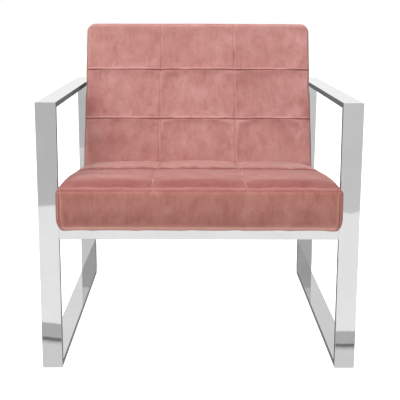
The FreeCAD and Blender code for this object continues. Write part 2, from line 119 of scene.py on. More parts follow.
# ---- the lattices that the pads are bent from, and their simulation ----
SIM_STEP = 0.0095
SIM_FRAMES = 20
SIM_CAP = 0.006
CLOTH = {
    "quality": 6,
    "mass": 0.35,
    "tension_stiffness": 22,
    "compression_stiffness": 14,
    "shear_stiffness": 9,
    "bending_stiffness": 0.35,
    "use_pressure": True,
    "uniform_pressure_force": 3.0,
    "shrink_min": -0.022,
}
FINE_STEP = 0.0058
FINE_DEPTH_STEP = 0.0075
SEAM_OFFSETS = (0.0007, 0.0015, 0.0025, 0.0038, 0.0055, 0.0078, 0.0110)

# ---- seams and topstitching ----
TOPSTITCH_Y = 0.0165
END_SEAM = 0.0072
END_STITCH = 0.0102
OUTER_STITCH = 0.0040
ROW_STITCH = 0.0055
BOXING_SEAM = 0.0035
STITCH_PITCH = 0.0042
STITCH_SHARE = 0.36
STITCH_RADIUS = 0.00036
STITCH_SIDES = 6
STITCH_PROFILE = ((0.0, 0.30), (0.18, 0.85), (0.5, 1.0), (0.82, 0.85), (1.0, 0.30))
FORWARD = (0, -1, 0.2)
UPWARD = (0, -0.2, 1)

# ---- darker patches painted on the back's face, the two at its side edges at arm height being painted shade from the arms: strength, place across and its width, place up and its height ----
BACK_PATCHES = (
    (0.40, 0.075, 0.085, 0.075, 0.075),
    (0.18, 2 * half_width - 0.06, 0.07, 0.06, 0.06),
    (0.80, 0.004, 0.040, 0.168, 0.042),
    (0.75, 2 * half_width, 0.024, 0.150, 0.042),
    (0.34, half_width + 0.128, 0.026, 0.226, 0.026),
    (0.26, half_width - 0.125, 0.032, 0.036, 0.034),
)

# ---- what the steel mirrors, with distances and greys given at the left side and at the right one ----
# floor bands round the chair: name, how far before the loops it starts, grey
FLOOR_BANDS = (
    ("foot", (0.0, 0.0), 0.70),
    ("fade_1", (0.135, 0.112), 0.62),
    ("fade_2", (0.143, 0.120), 0.52),
    ("fade_3", (0.150, 0.127), 0.38),
    ("line", (0.157, 0.134), 0.19),
    ("low", (0.176, 0.152), 0.47),
    ("bright", (0.265, 0.231), 0.90),
    ("far", (1.56, 1.47), 0.63),
)
FLOOR_END = (6.0, 6.0)
FAR_LEFT_GREY = 0.54
# grey of the card below the chair, a painted shadow seen in the steel
CHAIR_SHADOW_GREY = 0.20
BAND_Z = 0.0008
FRONT_BAND_Z = 0.0010
TOP_BAND_Z = 0.0012
# near band edges slant where the left leg mirrors them, and the far one dips: middle, width, depth
SLANT_X = -0.358
SLANT = 0.26
FAR_DIPS = ((0.616, 0.026, 0.038), (-0.640, 0.030, 0.014))
# floor strips beside the loops
BESIDE_REACH = (0.351, 0.52)
BESIDE_Y = (-0.25, loop_rear_y)
BESIDE_GREYS = (0.64, 0.44)
# cards just inside each loop, dark stand-ins for the shade inside the chair, a painted shade that only the
# steel mirrors: name, y range, z range, greys
INSIDE_X = 0.3030
INSIDE_CARDS = (
    ("arm", (loop_front_y, -0.05), (0.560, 0.620), (0.165, 0.165)),
    ("arm_middle", (-0.05, 0.08), (0.560, 0.620), (0.12, 0.15)),
    ("arm_rear", (0.08, 0.215), (0.560, 0.620), (0.06, 0.15)),
    ("front_leg", (loop_front_y, -0.280), (0.012, 0.600), (0.14, 0.14)),
    ("runner", (-0.30, loop_rear_y), (0.001, 0.030), (0.20, 0.20)),
    ("rear_leg", (0.335, 0.42), (0.012, 0.300), (0.20, 0.20)),
)
# cards standing across the room: name, x reach, y, z range, greys
ACROSS_CARDS = (
    ("screen", (0.355, 0.75), -0.084, (0.05, 0.222), (0.44, 0.44)),
    ("screen_high", (0.355, 0.75), -0.084, (0.222, 0.318), (0.68, 0.62)),
    ("arm_card", (0.05, 2.2), 5.0, (0.90, 1.35), (0.93, 0.93)),
    ("runner_card", (0.05, 2.2), 5.0, (1.35, 2.90), (0.78, 0.70)),
)
WALL_COUNT = 24
WALL_RADIUS = 7.0
WALL_HEIGHT = 4.0
WALL_GREYS = (0.95, 0.55, 0.80, 0.35)
WHITE_BEARINGS = (60, 120)


def seat_point(u, w):
    """(y, z) at u along the seat's slope from the front rail and w above its underside."""
    y = seat_origin_y + u * math.cos(TILT) + w * math.sin(TILT)
    z = seat_origin_z - u * math.sin(TILT) + w * math.cos(TILT)
    return y, z


def back_point(v, t):
    """(y, z) at v up the back's front face from the crease and t behind that face."""
    y, z = seat_point(CREASE_U, SEAT_THICK)
    return y + v * math.sin(LEAN) + t * math.cos(LEAN), z + v * math.cos(LEAN) - t * math.sin(LEAN)


def back_v(t, w):
    """v of the point t behind the back's face and w above the seat's underside."""
    return (w - SEAT_THICK + t * math.sin(FOLD)) / math.cos(FOLD)


def underside_z(y):
    return seat_origin_z - (y - seat_origin_y) * math.tan(TILT)


def mesh_object(name, points, faces):
    mesh = bpy.data.meshes.new(name)
    mesh.from_pydata(points, [], faces)
    mesh.update()
    obj = bpy.data.objects.new(name, mesh)
    bpy.context.scene.collection.objects.link(obj)
    return obj


# ======== node material helpers
EVEN = (1.0, 1.0, 1.0)


def new_material(name):
    material = bpy.data.materials.new(name)
    material.use_nodes = True
    tree = material.node_tree
    shader = tree.nodes["Principled BSDF"]
    return material, tree, shader


def add(tree, kind, **values):
    """A node with its inputs and properties set by name."""
    node = tree.nodes.new(kind)
    for key, value in values.items():
        if key in node.inputs:
            node.inputs[key].default_value = value
        else:
            setattr(node, key, value)
    return node


def set_inputs(node, values):
    for key, value in values.items():
        node.inputs[key].default_value = value


def noise(tree, vector, scale, detail=4.0, roughness=0.5, distortion=0.0):
    node = tree.nodes.new("ShaderNodeTexNoise")
    set_inputs(node, {"Scale": scale, "Detail": detail, "Roughness": roughness, "Distortion": distortion})
    tree.links.new(vector, node.inputs["Vector"])
    return node.outputs["Fac"]


def stretched(tree, scale):
    """Object coordinates, stretched by scale."""
    coordinates = tree.nodes.new("ShaderNodeTexCoord")
    mapping = tree.nodes.new("ShaderNodeMapping")
    mapping.inputs["Scale"].default_value = scale
    tree.links.new(coordinates.outputs["Object"], mapping.inputs["Vector"])
    return mapping.outputs["Vector"]


def ramp(tree, factor, stops):
    node = tree.nodes.new("ShaderNodeValToRGB")
    while len(node.color_ramp.elements) < len(stops):
        node.color_ramp.elements.new(0.5)
    for element, (position, colour) in zip(node.color_ramp.elements, stops):
        element.position = position
        element.color = (*colour, 1.0)
    tree.links.new(factor, node.inputs["Fac"])
    return node.outputs["Color"]


def value_range(tree, factor, low, high, from_low=0.0, from_high=1.0):
    node = tree.nodes.new("ShaderNodeMapRange")
    set_inputs(node, {"From Min": from_low, "From Max": from_high, "To Min": low, "To Max": high})
    tree.links.new(factor, node.inputs["Value"])
    return node.outputs["Result"]


def mixed(tree, factor, colour_a, colour_b, blend="MIX"):
    node = tree.nodes.new("ShaderNodeMix")
    node.data_type = "RGBA"
    node.blend_type = blend
    for socket, value in ((node.inputs[0], factor), (node.inputs[6], colour_a), (node.inputs[7], colour_b)):
        if hasattr(value, "is_output"):
            tree.links.new(value, socket)
        elif isinstance(value, (int, float)):
            socket.default_value = value
        else:
            socket.default_value = (*value, 1.0)
    return node.outputs[2]


def bump(tree, shader, height, strength, distance):
    node = add(tree, "ShaderNodeBump", Strength=strength, Distance=distance)
    tree.links.new(height, node.inputs["Height"])
    if shader.inputs["Normal"].is_linked:
        tree.links.new(shader.inputs["Normal"].links[0].from_socket, node.inputs["Normal"])
    tree.links.new(node.outputs["Normal"], shader.inputs["Normal"])


def srgb(red, green, blue):
    """Linear colour of 8-bit sRGB values."""
    return tuple(
        (value / 255 / 12.92) if value <= 10 else ((value / 255 + 0.055) / 1.055) ** 2.4
        for value in (red, green, blue)
    )


# ======== materials
def velvet_material():
    """Short cotton velvet: brushed patches in the pile, a pale sheen at grazing angles, fine nap."""
    material, tree, shader = new_material("velvet_rose")
    patches = noise(tree, stretched(tree, (1.0, 1.0, 0.8)), 24.0, 6.0, 0.66, 0.35)
    clouds = noise(tree, stretched(tree, EVEN), 5.0, 3.0, 0.5)
    streaks = noise(tree, stretched(tree, (1.0, 0.3, 0.22)), 130.0, 4.0, 0.65)
    nap = noise(tree, stretched(tree, EVEN), 900.0, 2.0, 0.7)
    base = ramp(tree, patches, (
        (0.30, srgb(*VELVET_DEEP)),
        (0.50, srgb(*VELVET_MAIN)),
        (0.72, srgb(*VELVET_LIGHT)),
    ))
    cloudy = mixed(tree, value_range(tree, clouds, 0.0, 0.55, 0.45, 0.72), base, srgb(*VELVET_DEEP))
    brushed = mixed(tree, value_range(tree, streaks, 0.0, 0.36, 0.48, 0.78), cloudy, srgb(*VELVET_LIGHT))
    fine = mixed(tree, value_range(tree, nap, 0.0, 0.35, 0.35, 0.75), brushed, srgb(*VELVET_DEEP))
    # painted light read from each pad's point attributes: painted shade, a painted highlight on seam lips,
    # edges and sheen-lit faces, a tint for the front panel's weaker sheen, and painted shade in seams and
    # creases
    attributes = {}
    for name in ("sheen_loss", "shade", "lip", "fold"):
        attributes[name] = add(tree, "ShaderNodeAttribute", attribute_name=name).outputs["Fac"]
    colour = mixed(tree, attributes["shade"], fine, SHADE_TINT, "MULTIPLY")
    flecks = noise(tree, stretched(tree, (1.0, 1.0, 0.45)), 75.0, 3.0, 0.6)
    colour = mixed(tree, value_range(tree, flecks, 0.0, 0.30, 0.56, 0.74), colour, SHADE_TINT, "MULTIPLY")
    colour = mixed(tree, attributes["lip"], colour, srgb(*VELVET_HIGHLIGHT))
    colour = mixed(tree, attributes["sheen_loss"], colour, SHEEN_LOSS_TINT, "MULTIPLY")
    colour = mixed(tree, attributes["fold"], colour, srgb(*VELVET_CREASE_SHADE))
    tree.links.new(colour, shader.inputs["Base Color"])
    tree.links.new(value_range(tree, patches, 0.75, 0.92), shader.inputs["Roughness"])
    sheen_tint = (*srgb(235, 205, 200), 1.0)
    set_inputs(shader, {"Sheen Weight": 0.45, "Sheen Roughness": 0.40, "Sheen Tint": sheen_tint,
                        "Specular IOR Level": 0.12})
    bump(tree, shader, nap, 0.45, 0.0005)
    bump(tree, shader, streaks, 0.12, 0.0006)
    bump(tree, shader, patches, 0.14, 0.0030)
    return material


def steel_material():
    """Mirror-polished steel with faint buffing marks along the bar."""
    material, tree, shader = new_material("polished_steel")
    shader.inputs["Metallic"].default_value = 1.0
    haze = noise(tree, stretched(tree, EVEN), 14.0, 4.0)
    marks = noise(tree, stretched(tree, (1.0, 0.05, 0.05)), 700.0, 2.0)
    tint = ramp(tree, haze, ((0.3, (0.81, 0.81, 0.815)), (0.7, (0.86, 0.86, 0.862))))
    tree.links.new(tint, shader.inputs["Base Color"])
    both = mixed(tree, 0.5, haze, marks)
    tree.links.new(value_range(tree, both, 0.015, 0.050, 0.3, 0.7), shader.inputs["Roughness"])
    bump(tree, shader, marks, 0.03, 0.0002)
    return material


def grained_material(name, stretch, grain, colours, roughness, relief, metallic=0.0, sheen=0.0):
    """A material of one noise, which mixes two colours, varies the roughness and lifts the surface."""
    material, tree, shader = new_material(name)
    set_inputs(shader, {"Metallic": metallic, "Sheen Weight": sheen})
    grains = noise(tree, stretched(tree, stretch), *grain)
    tree.links.new(ramp(tree, grains, ((0.3, colours[0]), (0.7, colours[1]))), shader.inputs["Base Color"])
    tree.links.new(value_range(tree, grains, *roughness), shader.inputs["Roughness"])
    bump(tree, shader, grains, *relief)
    return material


def plastic_material():
    colours = ((0.02, 0.02, 0.02), (0.05, 0.05, 0.05))
    return grained_material("glide_plastic", EVEN, (700.0, 3.0), colours, (0.4, 0.6), (0.2, 0.0003))


def zinc_material():
    colours = ((0.42, 0.43, 0.46), (0.68, 0.68, 0.66))
    return grained_material("zinc_steel", EVEN, (160.0, 4.0), colours, (0.28, 0.48), (0.12, 0.0003),
                            metallic=1.0)


def hardboard_material():
    colours = (srgb(92, 62, 40), srgb(146, 108, 74))
    return grained_material("hardboard", EVEN, (420.0, 5.0, 0.65, 2.0), colours, (0.55, 0.8), (0.3, 0.0004))


def fibre_material(name, dark, light, scale, relief):
    """A matted fibre sheet: felt, foam or non-woven."""
    return grained_material(name, (1.0, 0.4, 1.0), (scale, 5.0, 0.7, 3.0), (dark, light), (0.8, 0.95),
                            (0.4, relief), sheen=0.2)


def timber_material():
    """Sawn hardwood: rings stretched along the chair's width, with fine pores."""
    material, tree, shader = new_material("timber")
    rings = noise(tree, stretched(tree, (0.12, 1.0, 1.0)), 60.0, 5.0, 0.6, 1.5)
    pores = noise(tree, stretched(tree, (0.05, 1.0, 1.0)), 900.0, 2.0)
    wood = ramp(tree, rings, (
        (0.30, srgb(168, 124, 78)),
        (0.50, srgb(198, 156, 106)),
        (0.70, srgb(218, 182, 134)),
    ))
    tree.links.new(mixed(tree, value_range(tree, pores, 0.0, 0.4, 0.5, 0.8), wood, srgb(120, 82, 48)),
                   shader.inputs["Base Color"])
    tree.links.new(value_range(tree, rings, 0.55, 0.75), shader.inputs["Roughness"])
    bump(tree, shader, pores, 0.25, 0.0004)
    return material


def webbing_material():
    """Plain woven strap: two crossed wave patterns."""
    material, tree, shader = new_material("webbing")
    warp = add(tree, "ShaderNodeTexWave", Scale=260.0, bands_direction="X")
    weft = add(tree, "ShaderNodeTexWave", Scale=260.0, bands_direction="Z")
    for wave in (warp, weft):
        tree.links.new(stretched(tree, EVEN), wave.inputs["Vector"])
    weave = mixed(tree, 0.5, warp.outputs["Color"], weft.outputs["Color"])
    tree.links.new(ramp(tree, weave, ((0.2, (0.01, 0.01, 0.012)), (0.8, (0.06, 0.06, 0.065)))),
                   shader.inputs["Base Color"])
    shader.inputs["Roughness"].default_value = 0.8
    bump(tree, shader, weave, 0.5, 0.0005)
    return material


def thread_material():
    material, tree, shader = new_material("thread_rose")
    twist = noise(tree, stretched(tree, EVEN), 1500.0, 2.0)
    tree.links.new(ramp(tree, twist, ((0.3, srgb(190, 122, 114)), (0.7, srgb(226, 168, 158)))),
                   shader.inputs["Base Color"])
    shader.inputs["Roughness"].default_value = 0.6
    bump(tree, shader, twist, 0.3, 0.0003)
    return material


VELVET = velvet_material()
THREAD = thread_material()
DUST = fibre_material("dust_cover_nonwoven", (0.008, 0.008, 0.009), (0.035, 0.035, 0.038), 500.0, 0.0004)
SLOT_MATERIALS = {
    "polished_steel": steel_material(),
    "glide_plastic": plastic_material(),
    "zinc_steel": zinc_material(),
    "timber": timber_material(),
    "hardboard": hardboard_material(),
    "felt": fibre_material("felt", srgb(96, 96, 98), srgb(150, 150, 150), 350.0, 0.0006),
    "webbing": webbing_material(),
    "foam": fibre_material("foam", srgb(214, 202, 160), srgb(236, 226, 190), 600.0, 0.0006),
    "velvet": VELVET,
    "dust_cover": DUST,
}


def dress_cad_nodes():
    """Every CAD node shows its slot's material."""
    for entry in frame["record"]["subparts"]:
        node = frame["nodes"][entry["node"]]
        material = SLOT_MATERIALS[entry["material_slot"]]
        node.data.materials.clear()
        node.data.materials.append(material)


# ======== padded shapes
def lattice(length, step, marks=(), close=()):
    """Positions from 0 to length, about step apart, with every mark and its close offsets on it."""
    fixed = {0.0, length}
    for mark in marks:
        fixed.add(mark)
        for offset in close:
            for place in (mark - offset, mark + offset):
                if 0.0 < place < length:
                    fixed.add(place)
    for offset in close:
        fixed.add(offset)
        fixed.add(length - offset)
    stops = sorted(fixed)
    places = [stops[0]]
    for low, high in zip(stops, stops[1:]):
        if high - low < 1e-5:
            continue
        count = max(1, round((high - low) / step))
        places += [low + (high - low) * index / count for index in range(1, count + 1)]
    return np.array(places)


class BoxMesh:
    """The surface of a block on a lattice: keys (i, j, k), box coordinates and quads."""

    def __init__(self, xs, ys, zs):
        self.axes = (xs, ys, zs)
        ends = [len(axis) - 1 for axis in self.axes]
        self.keys = []
        self.index = {}
        for i in range(ends[0] + 1):
            for j in range(ends[1] + 1):
                for k in range(ends[2] + 1):
                    if i in (0, ends[0]) or j in (0, ends[1]) or k in (0, ends[2]):
                        self.index[i, j, k] = len(self.keys)
                        self.keys.append((i, j, k))
        self.coords = np.array([[xs[i], ys[j], zs[k]] for i, j, k in self.keys])
        self.faces = []
        for axis in range(3):
            first, second = [a for a in range(3) if a != axis]
            for side in (0, ends[axis]):
                for row in range(ends[first]):
                    for column in range(ends[second]):
                        quad = []
                        for down, right in ((0, 0), (1, 0), (1, 1), (0, 1)):
                            key = [0, 0, 0]
                            key[axis], key[first], key[second] = side, row + down, column + right
                            quad.append(self.index[tuple(key)])
                        if (side == 0) == (axis != 1):
                            quad.reverse()
                        self.faces.append(quad)

    def build(self, name, points):
        return mesh_object(name, [tuple(point) for point in points], self.faces)


def rounded(coords, sizes, radius, crisp_low=()):
    """Box-surface points moved onto the same box with rounded edges, but none at a crisp axis's low end."""
    low = np.array([0.0 if axis in crisp_low else radius for axis in range(3)])
    high = np.array(sizes) - radius
    core = np.clip(coords, low, high)
    offset = coords - core
    reach = np.max(np.abs(offset), axis=1, keepdims=True)
    length = np.linalg.norm(offset, axis=1, keepdims=True)
    return core + offset * reach / np.maximum(length, 1e-9)


def bell(distance, width):
    return np.exp(-((distance / width) ** 2))


def smooth(value, low, high):
    x = np.clip((value - low) / (high - low), 0.0, 1.0)
    return x * x * (3 - 2 * x)


def pillow(position, stops):
    """1 in the middle of each stretch between stops and 0 at the stops."""
    result = np.zeros_like(position)
    for low, high in zip(stops, stops[1:]):
        inside = (position >= low) & (position <= high)
        s = (position[inside] - low) / (high - low)
        result[inside] = (4 * s * (1 - s)) ** PILLOW_POWER
    return result


def wobble(position, seed, length=0.06):
    """A smooth wandering between about -1 and 1 along a line."""
    total = np.zeros_like(position)
    for number, weight in enumerate((0.5, 0.3, 0.2)):
        phase = seed * 2.3 + number * 1.7
        total += weight * np.sin(position * 2 * math.pi / length * (1 + 0.83 * number) + phase)
    return total


class Pad:
    """A padded block, width x run x depth, stitched on the face at one end of its depth."""

    def __init__(self, name, run, depth, columns, rows, face, rises):
        self.name = name
        self.sizes = (2 * half_width, run, depth)
        self.columns = [x + half_width for x in columns]
        self.rows = list(rows)
        self.face = face
        self.face_z = depth if face else 0.0
        self.crisp_low = (2,) if face else ()
        self.rises = rises

    def block(self, coords):
        """The block with its edges rounded, its sewn lines wandering a little, and its swell."""
        x, y, _ = coords.T
        warp = np.zeros_like(coords)
        inner = np.where(self.on_face(coords), smooth(self.edge_distance(coords), 0.0, 0.030), 0.0)
        warp[:, 1] = 0.0011 * wobble(x, 7.7, 0.21) * inner
        side = smooth(x, 0.45 * self.sizes[0], 0.55 * self.sizes[0])
        for row in self.rows:
            step = np.tanh((y - row) / 0.0022)
            warp[:, 0] += inner * step * (0.0010 * (1 - side) - 0.0006 * side)
        warp[:, 0] += 0.0009 * wobble(y, 2.9, 0.13) * inner
        if self.face:
            bow = smooth(y, 0.10, 0.29) * (1 - smooth(y, 0.300, 0.390))
            warp[:, 0] += 0.0042 * bow * inner * (2 * side - 1)
        flat = rounded(coords, self.sizes, EDGE_RADIUS, self.crisp_low)
        return flat + warp + self.swell(coords)

    def on_face(self, coords):
        return np.abs(coords[:, 2] - self.face_z) < 1e-6

    def lively(self, y, low, high):
        """How strongly each row of cells swells: the seat's middle row is calm, its rear row full."""
        if not self.face:
            return np.ones_like(y)
        first, second = self.rows
        middle = smooth(y, first - 0.004, first + 0.010)
        last = smooth(y, second - 0.001, second + 0.003)
        return 1 + (low - 1) * middle + (high - low) * last

    def crown(self, x, y):
        """The broad rise of the stitched face, 0 at its sides and 1 in the middle."""
        s = x / self.sizes[0]
        rise = (4 * s * (1 - s)) ** 0.5
        if self.face:
            return rise * (0.42 * smooth(y, 0.0, 0.150) + 0.58 * smooth(y, 0.270, 0.440))
        t = np.clip(y / self.sizes[1], 0, 1)
        return rise * (4 * t * (1 - t)) ** 0.5

    def swell(self, coords):
        """How far each point stands proud of the plain block."""
        width, run, depth = self.sizes
        x, y, _ = coords.T
        offset = np.zeros_like(coords)
        face = self.on_face(coords)
        sign = 1.0 if self.face else -1.0
        cell = pillow(x, [0.0, *self.columns, width]) * pillow(y, [0.0, *self.rows, run])
        rise = self.rises["cell"] * cell * self.lively(y, 0.35, 1.9) + self.rises["whole"] * self.crown(x, y)
        offset[face, 2] = sign * rise[face]
        for axis, end, size in (
            (0, 0.0, -self.rises["side"]), (0, width, self.rises["side"]),
            (1, 0.0, -self.rises["end"]), (1, run, self.rises["end"]),
            (2, depth - self.face_z, -sign * self.rises["far"]),
        ):
            spread = np.ones(len(coords))
            for other in {0, 1, 2} - {axis}:
                s = coords[:, other] / self.sizes[other]
                spread = spread * (4 * s * (1 - s)) ** 0.5
            here = np.abs(coords[:, axis] - end) < 1e-6
            offset[here, axis] += size * spread[here]
        return offset

    def seam_distance(self, coords):
        """Signed distances across to the nearest column seam and the nearest row seam."""
        nearest = []
        for axis, seams in enumerate((self.columns, self.rows)):
            gaps = np.array([coords[:, axis] - seam for seam in seams])
            nearest.append(gaps[np.argmin(np.abs(gaps), axis=0), np.arange(len(coords))])
        return nearest

    def edge_distance(self, coords):
        """Distance over the surface to the nearest of the block's twelve edges."""
        gaps = [np.minimum(coords[:, a], self.sizes[a] - coords[:, a]) for a in range(3)]
        return np.sort(np.array(gaps), axis=0)[1]

    def boxing_seam(self, coords, axes=(0, 1)):
        """1 on the sewn line that runs round the side panels just inside their two long edges."""
        line = np.zeros(len(coords))
        for axis in axes:
            low = coords[:, axis] < 1e-6
            high = coords[:, axis] > self.sizes[axis] - 1e-6
            depth_gap = np.minimum(coords[:, 2], self.sizes[2] - coords[:, 2])
            line = np.where(low | high, np.maximum(line, bell(depth_gap - BOXING_SEAM, 0.0012)), line)
        return line


def simulate(pad, place):
    """Inflates a coarse copy of the pad between its held seams and gives its movement per key."""
    width, run, depth = pad.sizes
    coarse = BoxMesh(
        lattice(width, SIM_STEP, pad.columns),
        lattice(run, SIM_STEP, pad.rows),
        lattice(depth, SIM_STEP * 1.5),
    )
    start = place(pad.block(coarse.coords))
    obj = coarse.build(pad.name + "_sim", start)
    columns, rows = pad.seam_distance(coarse.coords)
    face = pad.on_face(coarse.coords)
    held = pad.edge_distance(coarse.coords) < 1e-6
    held |= face & ((np.abs(columns) < 1e-4) | (np.abs(rows) < 1e-4))
    held |= np.abs(coarse.coords[:, 2] - (depth - pad.face_z)) < 1e-6
    group = obj.vertex_groups.new(name="held")
    group.add([int(i) for i in np.nonzero(held)[0]], 1.0, "REPLACE")
    cloth = obj.modifiers.new("Cloth", "CLOTH")
    for key, value in CLOTH.items():
        setattr(cloth.settings, key, value)
    cloth.settings.vertex_group_mass = "held"
    cloth.settings.effector_weights.gravity = 0.0
    cloth.point_cache.frame_start = 1
    cloth.point_cache.frame_end = SIM_FRAMES
    scene = bpy.context.scene
    for number in range(1, SIM_FRAMES + 1):
        scene.frame_set(number)
    evaluated = obj.evaluated_get(bpy.context.evaluated_depsgraph_get())
    points = np.array([tuple(v.co) for v in evaluated.data.vertices])
    moved = points - start
    length = np.linalg.norm(moved, axis=1, keepdims=True)
    moved *= np.minimum(1.0, SIM_CAP / np.maximum(length, 1e-9))
    share = 0.12 + 0.88 * smooth(pad.edge_distance(coarse.coords), 0.0, 0.045)
    share = np.where(face, share * pad.lively(coarse.coords[:, 1], 0.30, 1.0), 0.45 * share)
    moved *= share[:, None]
    bpy.data.objects.remove(obj)
    scene.frame_set(1)
    return coarse, moved


def interpolate(coarse, moved, coords):
    """The coarse movement at finer lattice points, linear along each box axis."""
    shape = tuple(len(axis) for axis in coarse.axes)
    grid = np.zeros(shape + (3,))
    keys = np.array(coarse.keys)
    grid[keys[:, 0], keys[:, 1], keys[:, 2]] = moved
    cells = []
    parts = []
    for axis in range(3):
        stops = coarse.axes[axis]
        cell = np.clip(np.searchsorted(stops, coords[:, axis], side="right") - 1, 0, len(stops) - 2)
        part = (coords[:, axis] - stops[cell]) / (stops[cell + 1] - stops[cell])
        cells.append(cell)
        parts.append(np.clip(part, 0.0, 1.0))
    result = np.zeros((len(coords), 3))
    for corner in range(8):
        weight = np.ones(len(coords))
        index = []
        for axis in range(3):
            high = (corner >> axis) & 1
            weight = weight * (parts[axis] if high else 1 - parts[axis])
            index.append(cells[axis] + high)
        result += weight[:, None] * grid[tuple(index)]
    return result


def lattice_line(fine, points, axis, fixed, trim):
    """The finished points along one axis of the lattice, at fixed places on the others, its ends trimmed."""
    pick = {a: int(np.argmin(np.abs(fine.axes[a] - place))) for a, place in fixed.items()}
    line = []
    for step in range(len(fine.axes[axis])):
        key = [0, 0, 0]
        key[axis] = step
        for a, index in pick.items():
            key[a] = index
        line.append(points[fine.index[tuple(key)]])
    return np.array(line)[trim[0]:-trim[1]]


def stitches_along(line, normal, mesh):
    """Short rounded stitches laid end to end along a line, into a bmesh."""
    lengths = np.concatenate([[0.0], np.cumsum(np.linalg.norm(np.diff(line, axis=0), axis=1))])
    count = int(lengths[-1] / STITCH_PITCH)
    for number in range(1, count):
        ends = [(number - STITCH_SHARE) * STITCH_PITCH, (number + STITCH_SHARE) * STITCH_PITCH]
        start, end = (Vector([np.interp(at, lengths, line[:, a]) for a in range(3)]) for at in ends)
        along = (end - start).normalized()
        side = along.cross(Vector(normal)).normalized()
        lift = side.cross(along).normalized()
        rings = []
        for share, radius in STITCH_PROFILE:
            centre = start.lerp(end, share) + lift * STITCH_RADIUS * (0.55 * math.sin(math.pi * share) - 0.1)
            ring = []
            for turn in range(STITCH_SIDES):
                angle = turn * 2 * math.pi / STITCH_SIDES
                ring.append(mesh.verts.new(
                    centre + (side * math.cos(angle) + lift * math.sin(angle)) * STITCH_RADIUS * radius))
            rings.append(ring)
        for low, high in zip(rings, rings[1:]):
            for turn in range(STITCH_SIDES):
                after = (turn + 1) % STITCH_SIDES
                mesh.faces.new((low[turn], low[after], high[after], high[turn]))
        mesh.faces.new(list(reversed(rings[0])))
        mesh.faces.new(rings[-1])


def make_stitching(name, lines):
    """One piece of topstitching from (points, outward direction) lines."""
    mesh = bmesh.new()
    for line, normal in lines:
        stitches_along(line, normal, mesh)
    data = bpy.data.meshes.new(name)
    mesh.to_mesh(data)
    mesh.free()
    obj = bpy.data.objects.new(name, data)
    bpy.context.scene.collection.objects.link(obj)
    obj.data.shade_smooth()
    obj.data.materials.append(THREAD)
    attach(obj, "root")
    return obj


def make_pad(pad, place, detail):
    """The finished pad: simulated swell on a fine lattice, then seams cut in, then materials."""
    fine = BoxMesh(
        lattice(pad.sizes[0], FINE_STEP, pad.columns, SEAM_OFFSETS),
        lattice(pad.sizes[1], FINE_STEP, pad.rows, SEAM_OFFSETS),
        lattice(pad.sizes[2], FINE_DEPTH_STEP, (), SEAM_OFFSETS),
    )
    coarse, moved = simulate(pad, place)
    offset, sheen_loss, shade, lip, fold = detail(fine.coords)
    points = place(pad.block(fine.coords) + offset) + interpolate(coarse, moved, fine.coords)
    obj = fine.build(pad.name, points)
    obj.data.shade_smooth()
    # point attributes that paint light on the velvet: a tint for weaker sheen, painted shade, painted
    # highlight, and painted shade in seams and creases
    for name, values in (("sheen_loss", sheen_loss), ("shade", shade), ("lip", lip), ("fold", fold)):
        layer = obj.data.attributes.new(name, "FLOAT", "POINT")
        layer.data.foreach_set("value", np.clip(values, 0, 1).astype(np.float32))
    obj.data.materials.append(VELVET)
    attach(obj, "root")
    return obj, fine, points


def seam_shape(pad, coords, lap):
    """Grooves, lips and puckers of the sewn channels, on the stitched face: their rise, a painted highlight
    along the seams and painted shade beside them.
    """
    x, y, _ = coords.T
    columns, rows = pad.seam_distance(coords)
    puckers = wobble(x, 3.1, 0.021) * bell(rows, 0.009) + wobble(y, 1.4, 0.023) * bell(columns, 0.007)
    rise = -0.0013 * bell(columns, 0.0013) + 0.0005 * bell(np.abs(columns) - 0.0032, 0.0014)
    rise += lap * (-0.0017 * bell(rows + 0.0004, 0.0013) + 0.0011 * bell(rows - 0.0034, 0.0020))
    rise += 0.00045 * puckers
    fade = 0.50 + 0.26 * wobble(y, 0.6, 0.09) + 0.16 * wobble(y + 3 * x, 2.6, 0.031)
    # painted highlight down the column seams and above the rows, painted shade below the rows and beside the
    # columns
    lip = 0.78 * fade * bell(columns, 0.0014)
    lip = np.maximum(lip, lap * (0.50 + 0.22 * wobble(x, 5.2, 0.12)) * bell(rows - 0.0032, 0.0022))
    fold = lap * (0.62 + 0.24 * wobble(x, 0.9, 0.10)) * bell(rows + 0.0006, 0.0014)
    fold = np.maximum(fold, 0.22 * bell(columns + 0.0034, 0.0014))
    return rise, lip, fold


# ======== the seat
REAR_Y, REAR_Z = seat_point(CREASE_U - 0.001, SEAT_THICK)
SEAT_RUN = math.hypot(REAR_Y - cushion_front_y, REAR_Z - FRONT_SEAM_Z)


def seat_place_of(u):
    """Where along the pad's run the point u of the slope lies."""
    y, _ = seat_point(u, SEAT_THICK)
    return SEAT_RUN * (y - cushion_front_y) / (REAR_Y - cushion_front_y)


